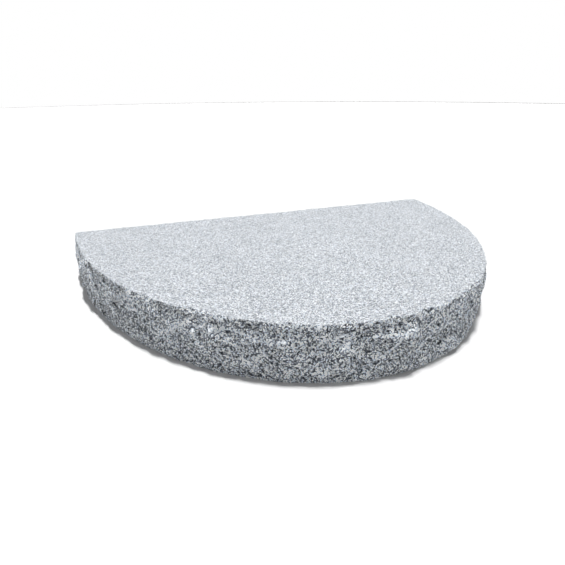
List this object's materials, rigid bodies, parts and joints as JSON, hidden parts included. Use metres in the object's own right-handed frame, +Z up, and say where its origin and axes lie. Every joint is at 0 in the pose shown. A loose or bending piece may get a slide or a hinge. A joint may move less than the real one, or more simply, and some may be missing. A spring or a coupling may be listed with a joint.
{
  "type": "granite step block",
  "caption": "Half-round granite step block with a flat tread and straight back, and a rock-pitched curved nose, used as an entrance step or landing.",
  "frame": {"origin": "middle of the straight back's lower edge, on the bed the block rests on", "axes": "+Z up, +X along the straight back, -Y towards the rounded nose"},
  "size_m": [1.3628, 0.9555, 0.15],
  "materials": {
    "granite": "flamed tread, rock-pitched nose, sawn bed and back"
  },
  "bodies": {
    "root": {"step_block": "granite"}
  },
  "joints": []
}
